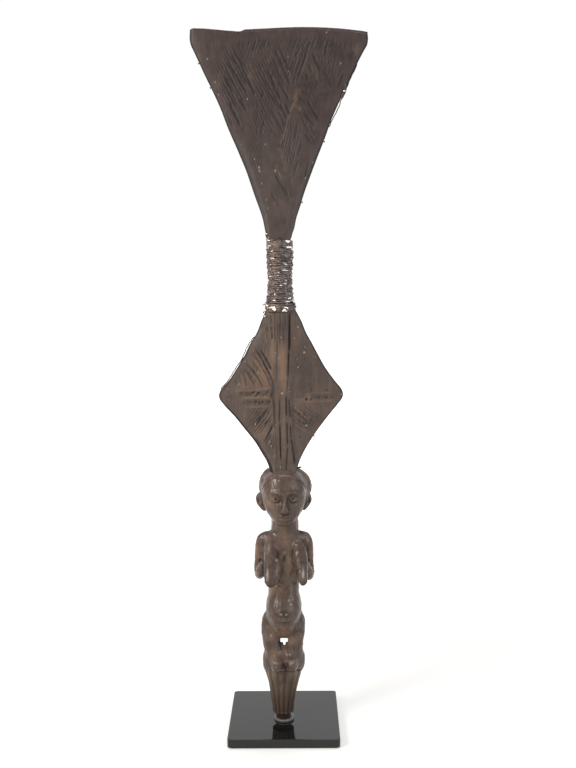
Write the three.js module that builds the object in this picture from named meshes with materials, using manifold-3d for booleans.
// Carved ceremonial staff on its display stand, millimetres, +Z up, front towards -Y.
// The staff is one piece of hardwood: a fan blade, a wire-wound grip, a lozenge blade, a standing
// figure and a fluted foot. It stands on a steel pin over a square plate, turns on that pin and
// lifts off it. The origin is the centre of the stand's underside.
import * as THREE from "three";
import Module from "manifold-3d";
import { mergeVertices } from "three/addons/utils/BufferGeometryUtils.js";

const wasm = await Module();
wasm.setup();

// Stand plate and its felt
const plateWidth = 127;
const plateThickness = 10;
const plateCornerRadius = 4;
const plateEdgeChamfer = 1.2;
const feltThickness = 1;
const feltInset = 1.5;

// Pin, its screw and the washer that the staff stands on
const pinForward = 12;
const pinDiameter = 6.4;
const pinHeight = 48;
const pinTipChamfer = 0.8;
const screwDiameter = 4;
const screwGrip = 12;
const screwHeadDiameter = 8;
const screwHeadHeight = 3;
const screwHeadSink = 0.5;
const washerDiameter = 23;
const washerThickness = 3;
const washerChamfer = 0.6;
const runningGap = 0.3;

// Staff lengths from the foot up, which add up to the staff's length
const tenonLength = 5;
const footLength = 50;
const figureHeight = 244;
const lozengeHeight = 171;
const gripLength = 93;
const fanLength = 218;

// Staff widths and depths
const tenonDiameter = 17;
const footTopDiameter = 41;
const fluteDepth = 1.2;
const figureWidth = 67;
const figureDepth = 66;
const lozengeWidth = 141;
const lozengeThickness = 25;
const lozengeEdge = 7;
const ribWidth = 18;
const ribRaise = 1.6;
const gripDiameter = 24;
const fanWidth = 194;
const fanNeckThickness = 22;
const fanThickness = 9;
const fanEdge = 5;
const fanCrestDrop = 7;
const joinOverlap = 4;

// Wire of the grip's winding and of the two lashings that end it
const windingWire = 2.1;
const windingGap = 0.5;
const lashingWire = 3;
const lashingGap = 0.5;
const woundClearance = 0.45;
const tailLength = 4;

// Edge wires, and the tacks left in the blades' edges
const edgeWireDiameter = 1.2;
const edgeWireStandoff = 2.2;
const edgeWireLeg = 6;
const tackShank = 1.3;
const tackHead = 2.6;
const tackHeadHeight = 0.8;
const tackProud = 1.2;
const tackLength = 6;

// Cuts, and points closer than this are one point
const cutOverrun = 1;
const weldDistance = 1e-4;

// Counts
const flutes = 14;
const mostWindingLoops = 24;
const upperLashingLoops = 3;
const lowerLashingLoops = 2;
const loopSteps = 24;
const wireSides = 6;
const smallSides = 8;
const limbSides = 10;
const pairSides = 12;
const bodySides = 14;
const screwSides = 16;
const roundSides = 24;
const cornerSteps = 4;
const bevelSteps = 2;

// Shares of a blade's section: how far its neck keeps a full edge, and how steeply its crest drops
const fanNeckEdgeShare = 0.5;
const crestPower = 8;
const lozengeEndEdgeShare = 0.6;
const lozengeEndSwellShare = 0.1;
const halfwayShare = 0.5;
const fluteFadePower = 6;
const edgeStepShare = 0.01;

// Heights of the staff's stretches, from the stand's underside
const plateTop = feltThickness + plateThickness;
const staffFoot = plateTop + washerThickness;
const footBase = staffFoot + tenonLength;
const figureBase = footBase + footLength;
const lozengeBase = figureBase + figureHeight;
const gripBase = lozengeBase + lozengeHeight;
const fanBase = gripBase + gripLength;
const axisY = -pinForward;

// Fan rows: shares of its length, of its width, and of the way from blade to neck thickness
const fanRowShares = [
  [0, 0.163, 1],
  [0.064, 0.196, 0.85],
  [0.183, 0.286, 0.5],
  [0.303, 0.385, 0.27],
  [0.482, 0.548, 0.1],
  [0.716, 0.779, 0],
  [0.89, 0.956, 0],
  [0.931, 0.995, 0],
  [0.96, 1, 0],
  [0.985, 0.98, 0],
  [1, 0.945, 0],
];

// Fan columns: shares of the half width, of the blade's swell there, and of the drop of its crest
const fanColumnShares = [
  [-1, 0, 0.1],
  [-0.9, 0.7, 0.15],
  [-0.5, 1, 0.6],
  [-0.2, 1, 0.4],
  [0.1, 1, 0],
  [0.5, 1, 0.05],
  [0.9, 0.7, 0.6],
  [1, 0, 1],
];

// Lozenge rows: shares of its height, of its width, of its thickness, and how blunt its edge is
const lozengeRowShares = [
  [0, 0.247, 1.15, 0.8],
  [0.084, 0.343, 1, 0.4],
  [0.165, 0.465, 0.94, 0.15],
  [0.246, 0.609, 0.92, 0],
  [0.327, 0.758, 0.92, 0],
  [0.406, 0.924, 0.92, 0],
  [0.439, 0.986, 0.92, 0],
  [0.465, 1, 0.92, 0],
  [0.491, 0.986, 0.92, 0],
  [0.567, 0.858, 0.92, 0],
  [0.646, 0.725, 0.92, 0],
  [0.725, 0.608, 0.92, 0],
  [0.883, 0.398, 0.94, 0.2],
  [1, 0.284, 1, 0.6],
];

// Grip rows: shares of its length and of its diameter, wider at its foot where it meets the lozenge,
// and the share of its diameter that is sunk into the blades at its two ends
const gripRowShares = [
  [0, 1.2],
  [0.1, 1.08],
  [0.2, 0.95],
  [0.5, 0.97],
  [1, 1.03],
];
const gripSunkShare = 0.85;

// Foot rows: shares of its length and of its top diameter
const footRowShares = [
  [0, 0.6],
  [0.64, 0.78],
  [0.8, 0.85],
  [0.93, 0.95],
  [0.97, 1],
  [1, 0.92],
];

// Bodies of the figure. Start and span are shares of figureHeight, wide and side of figureWidth, deep and
// ahead of figureDepth. A row: shares of the span, of the width and depth, and its shifts ahead and outwards
const ankleCore = {
  startShare: -0.012, spanShare: 0.11, wideShare: 0.45, deepShare: 0.52, sideShare: 0, aheadShare: 0,
  rowShares: [[0, 0.9, 1, 0, 0], [0.5, 1, 1, 0, 0], [1, 0.6, 0.6, 0, 0]],
};
const foot = {
  startShare: 0, spanShare: 0.14, wideShare: 0.35, deepShare: 0.7, sideShare: 0.17, aheadShare: 0.02,
  rowShares: [
    [0, 0.84, 0.78, 0, -0.02], [0.12, 0.95, 0.96, 0.01, -0.01], [0.5, 1, 1, 0.02, 0],
    [0.75, 0.9, 0.86, 0.03, 0.01], [1, 0.66, 0.62, 0.02, 0.03],
  ],
};
const thigh = {
  startShare: 0.125, spanShare: 0.2, wideShare: 0.385, deepShare: 0.72, sideShare: 0.18, aheadShare: -0.03,
  rowShares: [
    [0, 0.6, 0.55, 0.04, 0.02], [0.16, 0.86, 0.8, 0.02, 0.005], [0.45, 1, 1, 0, 0],
    [0.75, 0.92, 0.94, -0.02, -0.01], [1, 0.6, 0.62, -0.02, -0.05],
  ],
};
const belly = {
  startShare: 0.168, spanShare: 0.24, wideShare: 0.62, deepShare: 0.72, sideShare: 0, aheadShare: 0.04,
  rowShares: [
    [0, 0.3, 0.6, 0, 0], [0.2, 0.72, 0.9, 0.02, 0], [0.45, 0.98, 1, 0.03, 0],
    [0.7, 0.96, 0.92, 0.02, 0], [1, 0.82, 0.72, -0.01, 0],
  ],
};
const torso = {
  startShare: 0.37, spanShare: 0.302, wideShare: 0.84, deepShare: 0.58, sideShare: 0, aheadShare: 0,
  rowShares: [
    [0, 0.66, 0.86, 0.02, 0], [0.12, 0.6, 0.82, 0, 0], [0.35, 0.76, 0.9, -0.01, 0],
    [0.7, 0.92, 1, 0, 0], [0.92, 1, 0.94, 0, 0], [1, 0.9, 0.74, 0, 0],
  ],
};
const neck = {
  startShare: 0.65, spanShare: 0.11, wideShare: 0.48, deepShare: 0.48, sideShare: 0, aheadShare: 0,
  rowShares: [[0, 1.08, 1.08, 0, 0], [0.3, 1, 1, 0, 0], [1, 1, 1, 0.02, 0]],
};
const head = {
  startShare: 0.738, spanShare: 0.262, wideShare: 0.78, deepShare: 0.86, sideShare: 0, aheadShare: 0.02,
  rowShares: [
    [0, 0.3, 0.4, 0.1, 0], [0.08, 0.5, 0.6, 0.09, 0], [0.25, 0.76, 0.82, 0.05, 0],
    [0.5, 0.97, 0.98, 0.01, 0], [0.72, 1, 1, 0, 0], [0.9, 0.88, 0.9, 0, 0], [1, 0.66, 0.66, 0, 0],
  ],
};
const coiffureLobe = {
  startShare: 0.85, spanShare: 0.15, wideShare: 0.46, deepShare: 0.62, sideShare: 0.225, aheadShare: -0.2,
  rowShares: [
    [0, 0.6, 0.6, 0, 0], [0.15, 0.9, 0.9, 0, 0], [0.45, 1, 1, 0, 0.005],
    [0.75, 0.84, 0.86, 0, -0.02], [1, 0.45, 0.5, 0, -0.06],
  ],
};
const diadem = {
  startShare: 0.915, spanShare: 0.022, wideShare: 0.83, deepShare: 0.92, sideShare: 0, aheadShare: 0.02,
  rowShares: [[0, 0.97, 0.97, 0, 0], [0.5, 1, 1, 0, 0], [1, 0.95, 0.95, 0, 0]],
};
const ear = {
  startShare: 0.81, spanShare: 0.065, wideShare: 0.18, deepShare: 0.2, sideShare: 0.395, aheadShare: -0.02,
  rowShares: [[0, 0.4, 0.4, 0, -0.02], [0.4, 1, 1, 0, 0], [0.8, 1, 1, 0, 0], [1, 0.5, 0.5, 0, 0]],
};
const nose = {
  startShare: 0.795, spanShare: 0.07, wideShare: 0.15, deepShare: 0.2, sideShare: 0, aheadShare: 0.45,
  rowShares: [[0, 1, 1, 0, 0], [0.25, 0.9, 0.95, 0, 0], [1, 0.4, 0.4, -0.03, 0]],
};
const eye = {
  startShare: 0.842, spanShare: 0.026, wideShare: 0.2, deepShare: 0.12, sideShare: 0.17, aheadShare: 0.405,
  rowShares: [[0, 0.5, 0.5, 0, 0], [0.5, 1, 1, 0, 0], [1, 0.5, 0.5, 0, 0]],
};
const mouth = {
  startShare: 0.772, spanShare: 0.014, wideShare: 0.24, deepShare: 0.1, sideShare: 0, aheadShare: 0.435,
  rowShares: [[0, 0.8, 0.8, 0, 0], [0.5, 1, 1, 0, 0], [1, 0.8, 0.8, 0, 0]],
};
const singleBodies = [ankleCore, belly, torso, neck, head, diadem, nose, mouth];
const pairedBodies = [foot, thigh, coiffureLobe, ear, eye];

// Arm and breast paths: shares of figureWidth outwards, of figureDepth ahead, of figureHeight up,
// and a radius as a share of figureWidth
const armPathShares = [
  [0.33, 0, 0.655, 0.07],
  [0.375, 0, 0.635, 0.11],
  [0.4, -0.02, 0.6, 0.105],
  [0.405, -0.05, 0.54, 0.1],
  [0.405, -0.04, 0.495, 0.1],
  [0.405, 0.08, 0.475, 0.095],
  [0.4, 0.24, 0.485, 0.09],
  [0.385, 0.36, 0.51, 0.085],
  [0.36, 0.42, 0.53, 0.05],
];
const breastPathShares = [
  [0.2, 0.1, 0.62, 0.1],
  [0.225, 0.22, 0.58, 0.14],
  [0.235, 0.34, 0.53, 0.15],
  [0.245, 0.45, 0.475, 0.145],
  [0.255, 0.5, 0.44, 0.11],
  [0.265, 0.52, 0.42, 0.05],
];

// Places along the blades, as shares of the fan's or the lozenge's height
const fanWireShares = [0.74, 0.49];
const lozengeWireShares = [0.79, 0.52];
const fanTackShares = [[-1, 0.83], [-1, 0.71], [1, 0.44], [1, 0.14]];
const lozengeTackShares = [[1, 0.19]];

// Geometry helpers

// The value of a column of a share table at a share of its length, straight between rows
function shareAt(rowShares, share, column) {
  const above = rowShares.findIndex((row) => row[0] >= share);
  const i = above < 0 ? rowShares.length - 1 : Math.max(above, 1);
  const [low, high] = [rowShares[i - 1], rowShares[i]];
  const t = (share - low[0]) / (high[0] - low[0]);
  return low[column] + (high[column] - low[column]) * t;
}

// A closed skin through rings of equally many points, each turning left seen from the far end
function skin(rings) {
  const count = rings[0].length;
  const positions = rings.flat().flatMap((p) => [p.x, p.y, p.z]);
  const index = [];
  for (let r = 0; r + 1 < rings.length; r += 1) {
    for (let i = 0; i < count; i += 1) {
      const j = (i + 1) % count;
      const [a, b] = [r * count + i, r * count + j];
      index.push(a, b, b + count, a, b + count, a + count);
    }
  }
  for (const [ring, row, turned] of [[rings[0], 0, true], [rings.at(-1), rings.length - 1, false]]) {
    const middle = new THREE.Vector3();
    ring.forEach((p) => middle.addScaledVector(p, 1 / count));
    const hub = positions.length / 3;
    positions.push(middle.x, middle.y, middle.z);
    for (let i = 0; i < count; i += 1) {
      const [a, b] = [row * count + i, row * count + ((i + 1) % count)];
      index.push(hub, turned ? b : a, turned ? a : b);
    }
  }
  const geometry = new THREE.BufferGeometry();
  geometry.setAttribute("position", new THREE.Float32BufferAttribute(positions, 3));
  geometry.setIndex(index);
  return geometry;
}

// A round or fluted ring lying level at height z
function levelRing(radiusX, radiusY, x, y, z, sides, flute = 0) {
  return Array.from({ length: sides }, (_, i) => {
    const angle = (2 * Math.PI * (i + 0.5)) / sides;
    const sink = i % 2 ? flute : 0;
    return new THREE.Vector3(
      x + (radiusX - sink) * Math.cos(angle),
      y + (radiusY - sink) * Math.sin(angle),
      z,
    );
  });
}

// Rings square to a path of points, with a radius at each point and no twist between them
function pathRings(points, radii, sides) {
  const tangents = points.map((_, i) => {
    const [from, to] = [points[Math.max(i - 1, 0)], points[Math.min(i + 1, points.length - 1)]];
    return to.clone().sub(from).normalize();
  });
  const side = new THREE.Vector3(1, 0, 0);
  if (Math.abs(tangents[0].x) > Math.abs(tangents[0].y)) side.set(0, 1, 0);
  return points.map((point, i) => {
    side.addScaledVector(tangents[i], -side.dot(tangents[i])).normalize();
    const up = tangents[i].clone().cross(side);
    return Array.from({ length: sides }, (_, k) => {
      const angle = (2 * Math.PI * k) / sides;
      return point.clone()
        .addScaledVector(side, radii[i] * Math.cos(angle))
        .addScaledVector(up, radii[i] * Math.sin(angle));
    });
  });
}

// A three.js geometry as a solid that can be joined and cut
function toSolid(geometry) {
  const bare = geometry.clone();
  bare.deleteAttribute("normal");
  bare.deleteAttribute("uv");
  const merged = mergeVertices(bare, weldDistance);
  return new wasm.Manifold(new wasm.Mesh({
    numProp: 3,
    vertProperties: Float32Array.from(merged.attributes.position.array),
    triVerts: Uint32Array.from(merged.index.array),
  }));
}

// A solid back as a three.js geometry
function toGeometry(solid) {
  const mesh = solid.getMesh();
  const geometry = new THREE.BufferGeometry();
  geometry.setAttribute("position", new THREE.BufferAttribute(Float32Array.from(mesh.vertProperties), 3));
  geometry.setIndex(new THREE.BufferAttribute(Uint32Array.from(mesh.triVerts), 1));
  return geometry;
}

// A cylinder from one point to another
function rod(from, to, diameter, sides) {
  const along = to.clone().sub(from);
  const geometry = new THREE.CylinderGeometry(diameter / 2, diameter / 2, along.length(), sides);
  geometry.translate(0, along.length() / 2, 0);
  geometry.applyQuaternion(
    new THREE.Quaternion().setFromUnitVectors(new THREE.Vector3(0, 1, 0), along.normalize()),
  );
  return geometry.translate(from.x, from.y, from.z);
}

// A turned piece on the pin's axis, from [radius, height] pairs
function turned(profile, sides = roundSides) {
  const points = profile.map(([radius, height]) => new THREE.Vector2(radius, height));
  return new THREE.LatheGeometry(points, sides).rotateX(Math.PI / 2).translate(0, axisY, 0);
}

// A rounded square outline centred on the origin
function roundedSquare(width, radius) {
  const h = width / 2;
  const shape = new THREE.Shape();
  shape.moveTo(h, radius - h);
  shape.absarc(h - radius, h - radius, radius, 0, Math.PI / 2);
  shape.absarc(radius - h, h - radius, radius, Math.PI / 2, Math.PI);
  shape.absarc(radius - h, radius - h, radius, Math.PI, 1.5 * Math.PI);
  shape.absarc(h - radius, radius - h, radius, 1.5 * Math.PI, 2 * Math.PI);
  return shape;
}

// Stand

function makeFelt() {
  const outline = roundedSquare(plateWidth - 2 * feltInset, plateCornerRadius);
  const depth = feltThickness;
  return new THREE.ExtrudeGeometry(outline, { depth, bevelEnabled: false, curveSegments: cornerSteps });
}

function makePlate() {
  const outline = roundedSquare(plateWidth - 2 * plateEdgeChamfer, plateCornerRadius - plateEdgeChamfer);
  const slab = new THREE.ExtrudeGeometry(outline, {
    depth: plateThickness - 2 * plateEdgeChamfer,
    bevelThickness: plateEdgeChamfer,
    bevelSize: plateEdgeChamfer,
    bevelSegments: bevelSteps,
    curveSegments: cornerSteps,
  }).translate(0, 0, feltThickness + plateEdgeChamfer);
  const hole = screwDiameter / 2 + runningGap;
  const mouth = screwHeadDiameter / 2 + runningGap;
  const shoulder = feltThickness + screwHeadSink + screwHeadHeight + runningGap;
  const cutter = turned([
    [0, feltThickness - cutOverrun],
    [mouth, feltThickness - cutOverrun],
    [mouth, feltThickness + screwHeadSink],
    [hole, shoulder],
    [hole, plateTop + cutOverrun],
    [0, plateTop + cutOverrun],
  ]);
  return toGeometry(toSolid(slab).subtract(toSolid(cutter)));
}

function makePin() {
  const r = pinDiameter / 2;
  const hole = screwDiameter / 2 + runningGap;
  const top = plateTop + pinHeight;
  return turned([
    [hole, plateTop],
    [r, plateTop],
    [r, top - pinTipChamfer],
    [r - pinTipChamfer, top],
    [0, top],
    [0, plateTop + screwGrip + cutOverrun],
    [hole, plateTop + screwGrip],
    [hole, plateTop],
  ]);
}

function makeScrew() {
  const bottom = feltThickness + screwHeadSink;
  const r = screwDiameter / 2;
  return turned([
    [0, bottom],
    [screwHeadDiameter / 2, bottom],
    [r, bottom + screwHeadHeight],
    [r, plateTop + screwGrip - runningGap],
    [0, plateTop + screwGrip - runningGap],
  ], screwSides);
}

function makeWasher() {
  const outer = washerDiameter / 2;
  const inner = pinDiameter / 2 + runningGap;
  return turned([
    [inner, plateTop],
    [outer, plateTop],
    [outer, staffFoot - washerChamfer],
    [outer - washerChamfer, staffFoot],
    [inner, staffFoot],
    [inner, plateTop],
  ]);
}

// Carved wood

// The fan: thin blade rings whose front and back swell between two square edges
function fanRings() {
  return fanRowShares.map(([share, wide, thick]) => {
    const half = (fanWidth * wide) / 2;
    const edge = (fanEdge + (fanNeckThickness - fanEdge) * fanNeckEdgeShare * thick ** 2) / 2;
    const middle = (fanThickness + (fanNeckThickness - fanThickness) * thick) / 2;
    const height = (drop) => fanBase + fanLength * share - fanCrestDrop * drop * share ** crestPower;
    const front = fanColumnShares.map(([across, swell, drop]) => new THREE.Vector3(
      half * across, axisY - edge - (middle - edge) * swell, height(drop)));
    const back = front.map((p) => new THREE.Vector3(p.x, 2 * axisY - p.y, p.z)).reverse();
    return [...front, ...back];
  });
}

// The lozenge: four flat slopes from a raised rib down to two narrow edges
function lozengeRings() {
  const foot = [-joinOverlap / lozengeHeight, ...lozengeRowShares[0].slice(1)];
  return [foot, ...lozengeRowShares].map(([share, wide, thick, blunt]) => {
    const half = (lozengeWidth * wide) / 2;
    const depth = (lozengeThickness * thick) / 2;
    const edge = lozengeEdge / 2 + (depth - ribRaise - lozengeEdge / 2) * blunt * lozengeEndEdgeShare;
    const rib = ribWidth / 2;
    const z = lozengeBase + lozengeHeight * share;
    const swellShare = halfwayShare + lozengeEndSwellShare * blunt;
    const slope = [
      [half, edge],
      [rib + (half - rib) * halfwayShare, edge + (depth - ribRaise - edge) * swellShare],
      [rib + ribRaise / 2, depth - ribRaise],
      [rib, depth],
    ];
    const front = [
      ...slope.map(([x, y]) => new THREE.Vector3(-x, axisY - y, z)),
      ...slope.map(([x, y]) => new THREE.Vector3(x, axisY - y, z)).reverse(),
    ];
    const back = front.map((p) => new THREE.Vector3(p.x, 2 * axisY - p.y, z)).reverse();
    return [...front, ...back];
  });
}

// The grip's wood under the winding, at a height above the grip's foot
function gripRadius(height) {
  return (gripDiameter / 2) * shareAt(gripRowShares, height / gripLength, 1);
}

function gripRings() {
  const sunk = joinOverlap / gripLength;
  const rows = [[-sunk, gripSunkShare], ...gripRowShares, [1 + sunk, gripSunkShare]];
  return rows.map(([share, wide]) => {
    const r = (gripDiameter / 2) * wide;
    return levelRing(r, r, 0, axisY, gripBase + gripLength * share, roundSides);
  });
}

function footRings() {
  return footRowShares.map(([share, wide]) => {
    const r = (footTopDiameter / 2) * wide;
    const flute = fluteDepth * (1 - share ** fluteFadePower);
    return levelRing(r, r, 0, axisY, footBase + footLength * share, flutes * 2, flute);
  });
}

// One body of the figure, on its own side
function figureBody(body, sign, sides) {
  const rings = body.rowShares.map(([up, wide, deep, ahead, out]) => levelRing(
    (figureWidth * body.wideShare * wide) / 2,
    (figureDepth * body.deepShare * deep) / 2,
    sign * figureWidth * (body.sideShare + out),
    axisY - figureDepth * (body.aheadShare + ahead),
    figureBase + figureHeight * (body.startShare + body.spanShare * up),
    sides,
  ));
  return skin(rings);
}

// An arm or a breast, swept along its path on its own side
function figureLimb(pathShares, sign) {
  const points = pathShares.map(([out, ahead, up]) => new THREE.Vector3(
    sign * figureWidth * out, axisY - figureDepth * ahead, figureBase + figureHeight * up));
  const radii = pathShares.map((row) => figureWidth * row[3]);
  return skin(pathRings(points, radii, limbSides));
}

// A point on a blade's edge, at a share of its height, and the direction that faces out of it there
function bladeEdge(rowShares, base, length, width, sign, share) {
  const at = (s) => new THREE.Vector3(
    (sign * width * shareAt(rowShares, s, 1)) / 2, axisY, base + length * s);
  const along = at(share + edgeStepShare).sub(at(share - edgeStepShare)).normalize();
  return { point: at(share), out: new THREE.Vector3(sign * along.z, 0, -sign * along.x) };
}

const fanEdgeAt = (sign, share) => bladeEdge(fanRowShares, fanBase, fanLength, fanWidth, sign, share);
const lozengeEdgeAt = (sign, share) =>
  bladeEdge(lozengeRowShares, lozengeBase, lozengeHeight, lozengeWidth, sign, share);

const wireSeats = {
  fan: fanWireShares.map((share) => fanEdgeAt(1, share)),
  lozenge: lozengeWireShares.map((share) => lozengeEdgeAt(-1, share)),
};
const tackSeats = [
  ...fanTackShares.map(([sign, share]) => fanEdgeAt(sign, share)),
  ...lozengeTackShares.map(([sign, share]) => lozengeEdgeAt(sign, share)),
];

// A hole drilled into an edge along the way that faces out
function edgeHole({ point, out }, diameter, depth) {
  const bottom = point.clone().addScaledVector(out, -depth);
  return rod(bottom, point.clone().addScaledVector(out, depth), diameter, smallSides);
}

function makeStaff() {
  const bodies = [
    skin(fanRings()),
    skin(gripRings()),
    skin(lozengeRings()),
    skin(footRings()),
    rod(
      new THREE.Vector3(0, axisY, staffFoot),
      new THREE.Vector3(0, axisY, footBase + joinOverlap),
      tenonDiameter,
      roundSides,
    ),
    ...singleBodies.map((body) => figureBody(body, 1, bodySides)),
  ];
  for (const sign of [-1, 1]) {
    bodies.push(...pairedBodies.map((body) => figureBody(body, sign, pairSides)));
    bodies.push(figureLimb(armPathShares, sign));
    bodies.push(figureLimb(breastPathShares, sign));
  }
  let staff = bodies.map(toSolid).reduce((joined, body) => joined.add(body));
  const boreTop = plateTop + pinHeight + runningGap;
  const bore = rod(
    new THREE.Vector3(0, axisY, staffFoot - cutOverrun),
    new THREE.Vector3(0, axisY, boreTop),
    pinDiameter + 2 * runningGap,
    roundSides,
  );
  const holes = [bore];
  for (const seat of [...wireSeats.fan, ...wireSeats.lozenge]) {
    holes.push(edgeHole(seat, edgeWireDiameter + 2 * runningGap, edgeWireLeg + runningGap));
  }
  for (const seat of tackSeats) {
    holes.push(edgeHole(seat, tackShank + 2 * runningGap, tackLength - tackProud + runningGap));
  }
  for (const hole of holes) staff = staff.subtract(toSolid(hole));
  return toGeometry(staff);
}

// Wire

// A winding on the grip from one height up, as one unbroken tube with straight tails
function woundWire(low, loops, wire, gap) {
  const pitch = wire + gap;
  const points = [];
  const total = loops * loopSteps;
  const centreAt = (i) => {
    const height = low + wire / 2 + (pitch * i) / loopSteps;
    const angle = (2 * Math.PI * i) / loopSteps;
    const r = gripRadius(height - gripBase) + woundClearance + wire / 2;
    return new THREE.Vector3(r * Math.sin(angle), axisY - r * Math.cos(angle), height);
  };
  for (let i = 0; i <= total; i += 1) points.push(centreAt(i));
  const first = points[0].clone().sub(points[1]).normalize();
  const last = points.at(-1).clone().sub(points.at(-2)).normalize();
  points.unshift(points[0].clone().addScaledVector(first, tailLength));
  points.push(points.at(-1).clone().addScaledVector(last, tailLength));
  const selfGap = leastSelfGap(points, wire);
  console.log(`winding at ${low.toFixed(1)}: ${loops} loops, least gap to itself ${selfGap.toFixed(2)} mm`);
  return skin(pathRings(points, points.map(() => wire / 2), wireSides));
}

// The least distance between stretches of a tube that are over half a loop apart, less its diameter
function leastSelfGap(points, wire) {
  let least = Infinity;
  for (let i = 0; i < points.length; i += 1) {
    for (let j = i + loopSteps / 2; j < points.length; j += 1) {
      least = Math.min(least, points[i].distanceTo(points[j]));
    }
  }
  return least - wire;
}

// The height that a winding of so many loops takes, from the underside of its wire to the top
function woundHeight(loops, wire, gap) {
  return loops * (wire + gap) + wire;
}

// The lashings sit at the grip's ends, and the winding takes the loops that fit between them
const lowerLashingLow = gripBase + lashingGap;
const lowerLashingHigh = lowerLashingLow + woundHeight(lowerLashingLoops, lashingWire, lashingGap);
const upperLashingLow = fanBase - lashingGap - woundHeight(upperLashingLoops, lashingWire, lashingGap);
const windingRoom = upperLashingLow - lowerLashingHigh - 2 * lashingGap;
const windingLoops = Math.min(
  mostWindingLoops,
  Math.floor((windingRoom - windingWire) / (windingWire + windingGap)),
);
const windingSlack = windingRoom - woundHeight(windingLoops, windingWire, windingGap);
const windingLow = lowerLashingHigh + lashingGap + windingSlack / 2;

// A wire that runs beside a blade's edge, with its two ends bent into it
function edgeWire([high, low]) {
  const corner = ({ point, out }) => point.clone().addScaledVector(out, edgeWireStandoff);
  const tip = ({ point, out }) => point.clone().addScaledVector(out, -edgeWireLeg);
  const parts = [
    rod(corner(low), corner(high), edgeWireDiameter, smallSides),
    rod(tip(low), corner(low), edgeWireDiameter, smallSides),
    rod(tip(high), corner(high), edgeWireDiameter, smallSides),
  ];
  for (const seat of [low, high]) {
    const { x, y, z } = corner(seat);
    parts.push(new THREE.SphereGeometry(edgeWireDiameter / 2, smallSides, smallSides / 2).translate(x, y, z));
  }
  return toGeometry(parts.map(toSolid).reduce((joined, part) => joined.add(part)));
}

// A tack driven into a blade's edge
function makeTack({ point, out }) {
  const capFoot = point.clone().addScaledVector(out, tackProud);
  const tip = capFoot.clone().addScaledVector(out, -tackLength);
  const shankTop = capFoot.clone().addScaledVector(out, tackHeadHeight / 2);
  const shank = rod(tip, shankTop, tackShank, smallSides);
  const cap = rod(capFoot, capFoot.clone().addScaledVector(out, tackHeadHeight), tackHead, smallSides);
  return toGeometry(toSolid(shank).add(toSolid(cap)));
}

// Finishes
const finishes = {
  blackFelt: { color: 0x1b1b1c, roughness: 0.95, metalness: 0 },
  blackLacquer: { color: 0x1a1a1b, roughness: 0.15, metalness: 0.1 },
  steel: { color: 0x8c8b88, roughness: 0.35, metalness: 0.9 },
  darkWood: { color: 0x4b3a31, roughness: 0.45, metalness: 0 },
  darkWire: { color: 0x6b5f55, roughness: 0.4, metalness: 0.85 },
  paleWire: { color: 0xa7a09a, roughness: 0.3, metalness: 0.9 },
};

const staffOnStand = new THREE.Group();

function addPiece(group, name, geometry, finish) {
  const mesh = new THREE.Mesh(geometry, new THREE.MeshStandardMaterial(finishes[finish]));
  mesh.name = name;
  group.add(mesh);
}

const stand = new THREE.Group();
addPiece(stand, "felt_underlay", makeFelt(), "blackFelt");
addPiece(stand, "base_plate", makePlate(), "blackLacquer");
addPiece(stand, "mount_pin", makePin(), "steel");
addPiece(stand, "pin_screw", makeScrew(), "steel");
addPiece(stand, "seat_washer", makeWasher(), "steel");

const staff = new THREE.Group();
addPiece(staff, "carved_staff", makeStaff(), "darkWood");
const lowerLashing = woundWire(lowerLashingLow, lowerLashingLoops, lashingWire, lashingGap);
const gripWinding = woundWire(windingLow, windingLoops, windingWire, windingGap);
const upperLashing = woundWire(upperLashingLow, upperLashingLoops, lashingWire, lashingGap);
addPiece(staff, "lower_lashing", lowerLashing, "paleWire");
addPiece(staff, "grip_winding", gripWinding, "darkWire");
addPiece(staff, "upper_lashing", upperLashing, "paleWire");
addPiece(staff, "fan_edge_wire", edgeWire(wireSeats.fan), "paleWire");
addPiece(staff, "lozenge_edge_wire", edgeWire(wireSeats.lozenge), "paleWire");
tackSeats.forEach((seat, i) => addPiece(staff, `edge_tack_${i + 1}`, makeTack(seat), "darkWire"));

staffOnStand.add(stand, staff);

export default staffOnStand;
